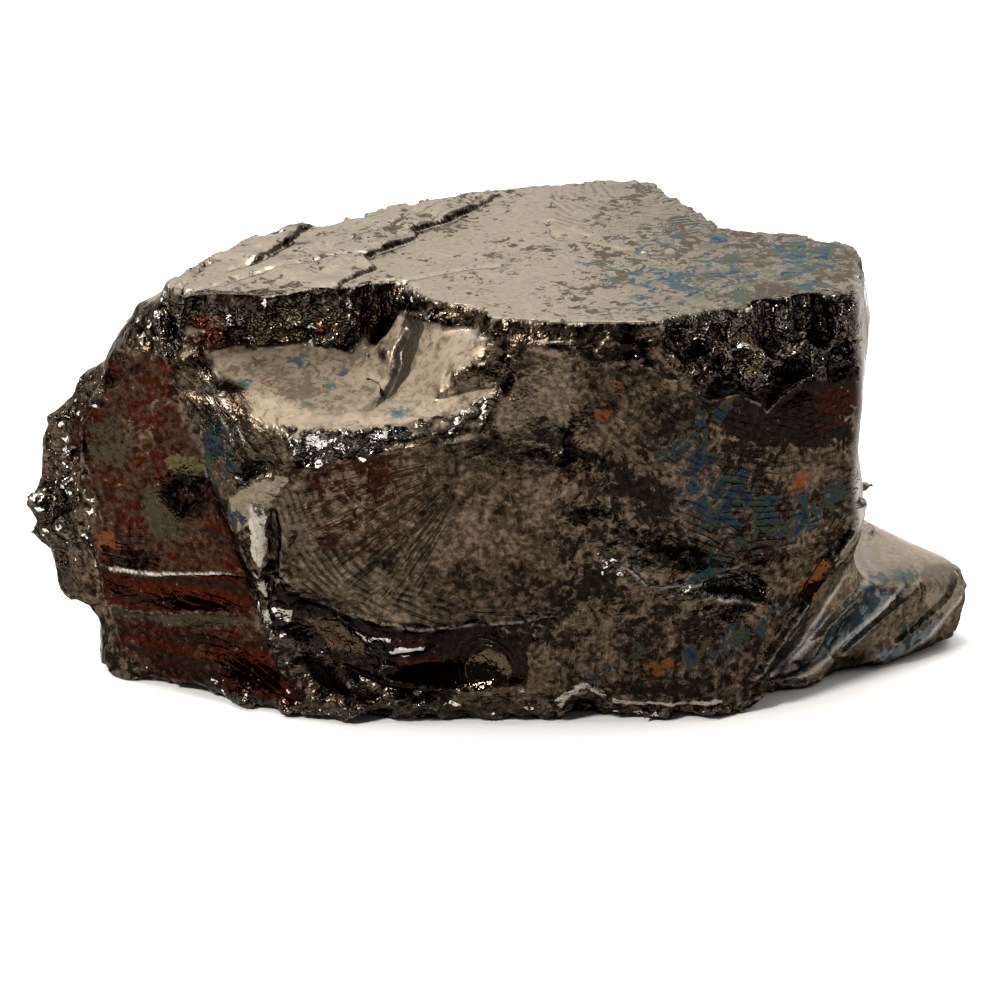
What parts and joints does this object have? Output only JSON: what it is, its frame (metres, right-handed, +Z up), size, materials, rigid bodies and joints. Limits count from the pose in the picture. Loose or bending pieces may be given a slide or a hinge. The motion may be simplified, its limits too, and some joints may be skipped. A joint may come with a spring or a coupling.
{
  "type": "shungite stone",
  "caption": "Raw block of glossy black shungite with a flat cleaved top, a broken ledge along the front and a low foot at one end.",
  "frame": {"origin": "middle of the stone's box, on the flat underside that it rests on", "axes": "+Z up, +X along the longest side towards the low foot, -Y towards the ledge face"},
  "size_m": [0.1196, 0.0602, 0.0552],
  "materials": {
    "shungite": "glossy, half-metallic, with matt brown and iridescent blue stains"
  },
  "bodies": {
    "root": {"shungite_stone": "shungite"}
  },
  "joints": []
}
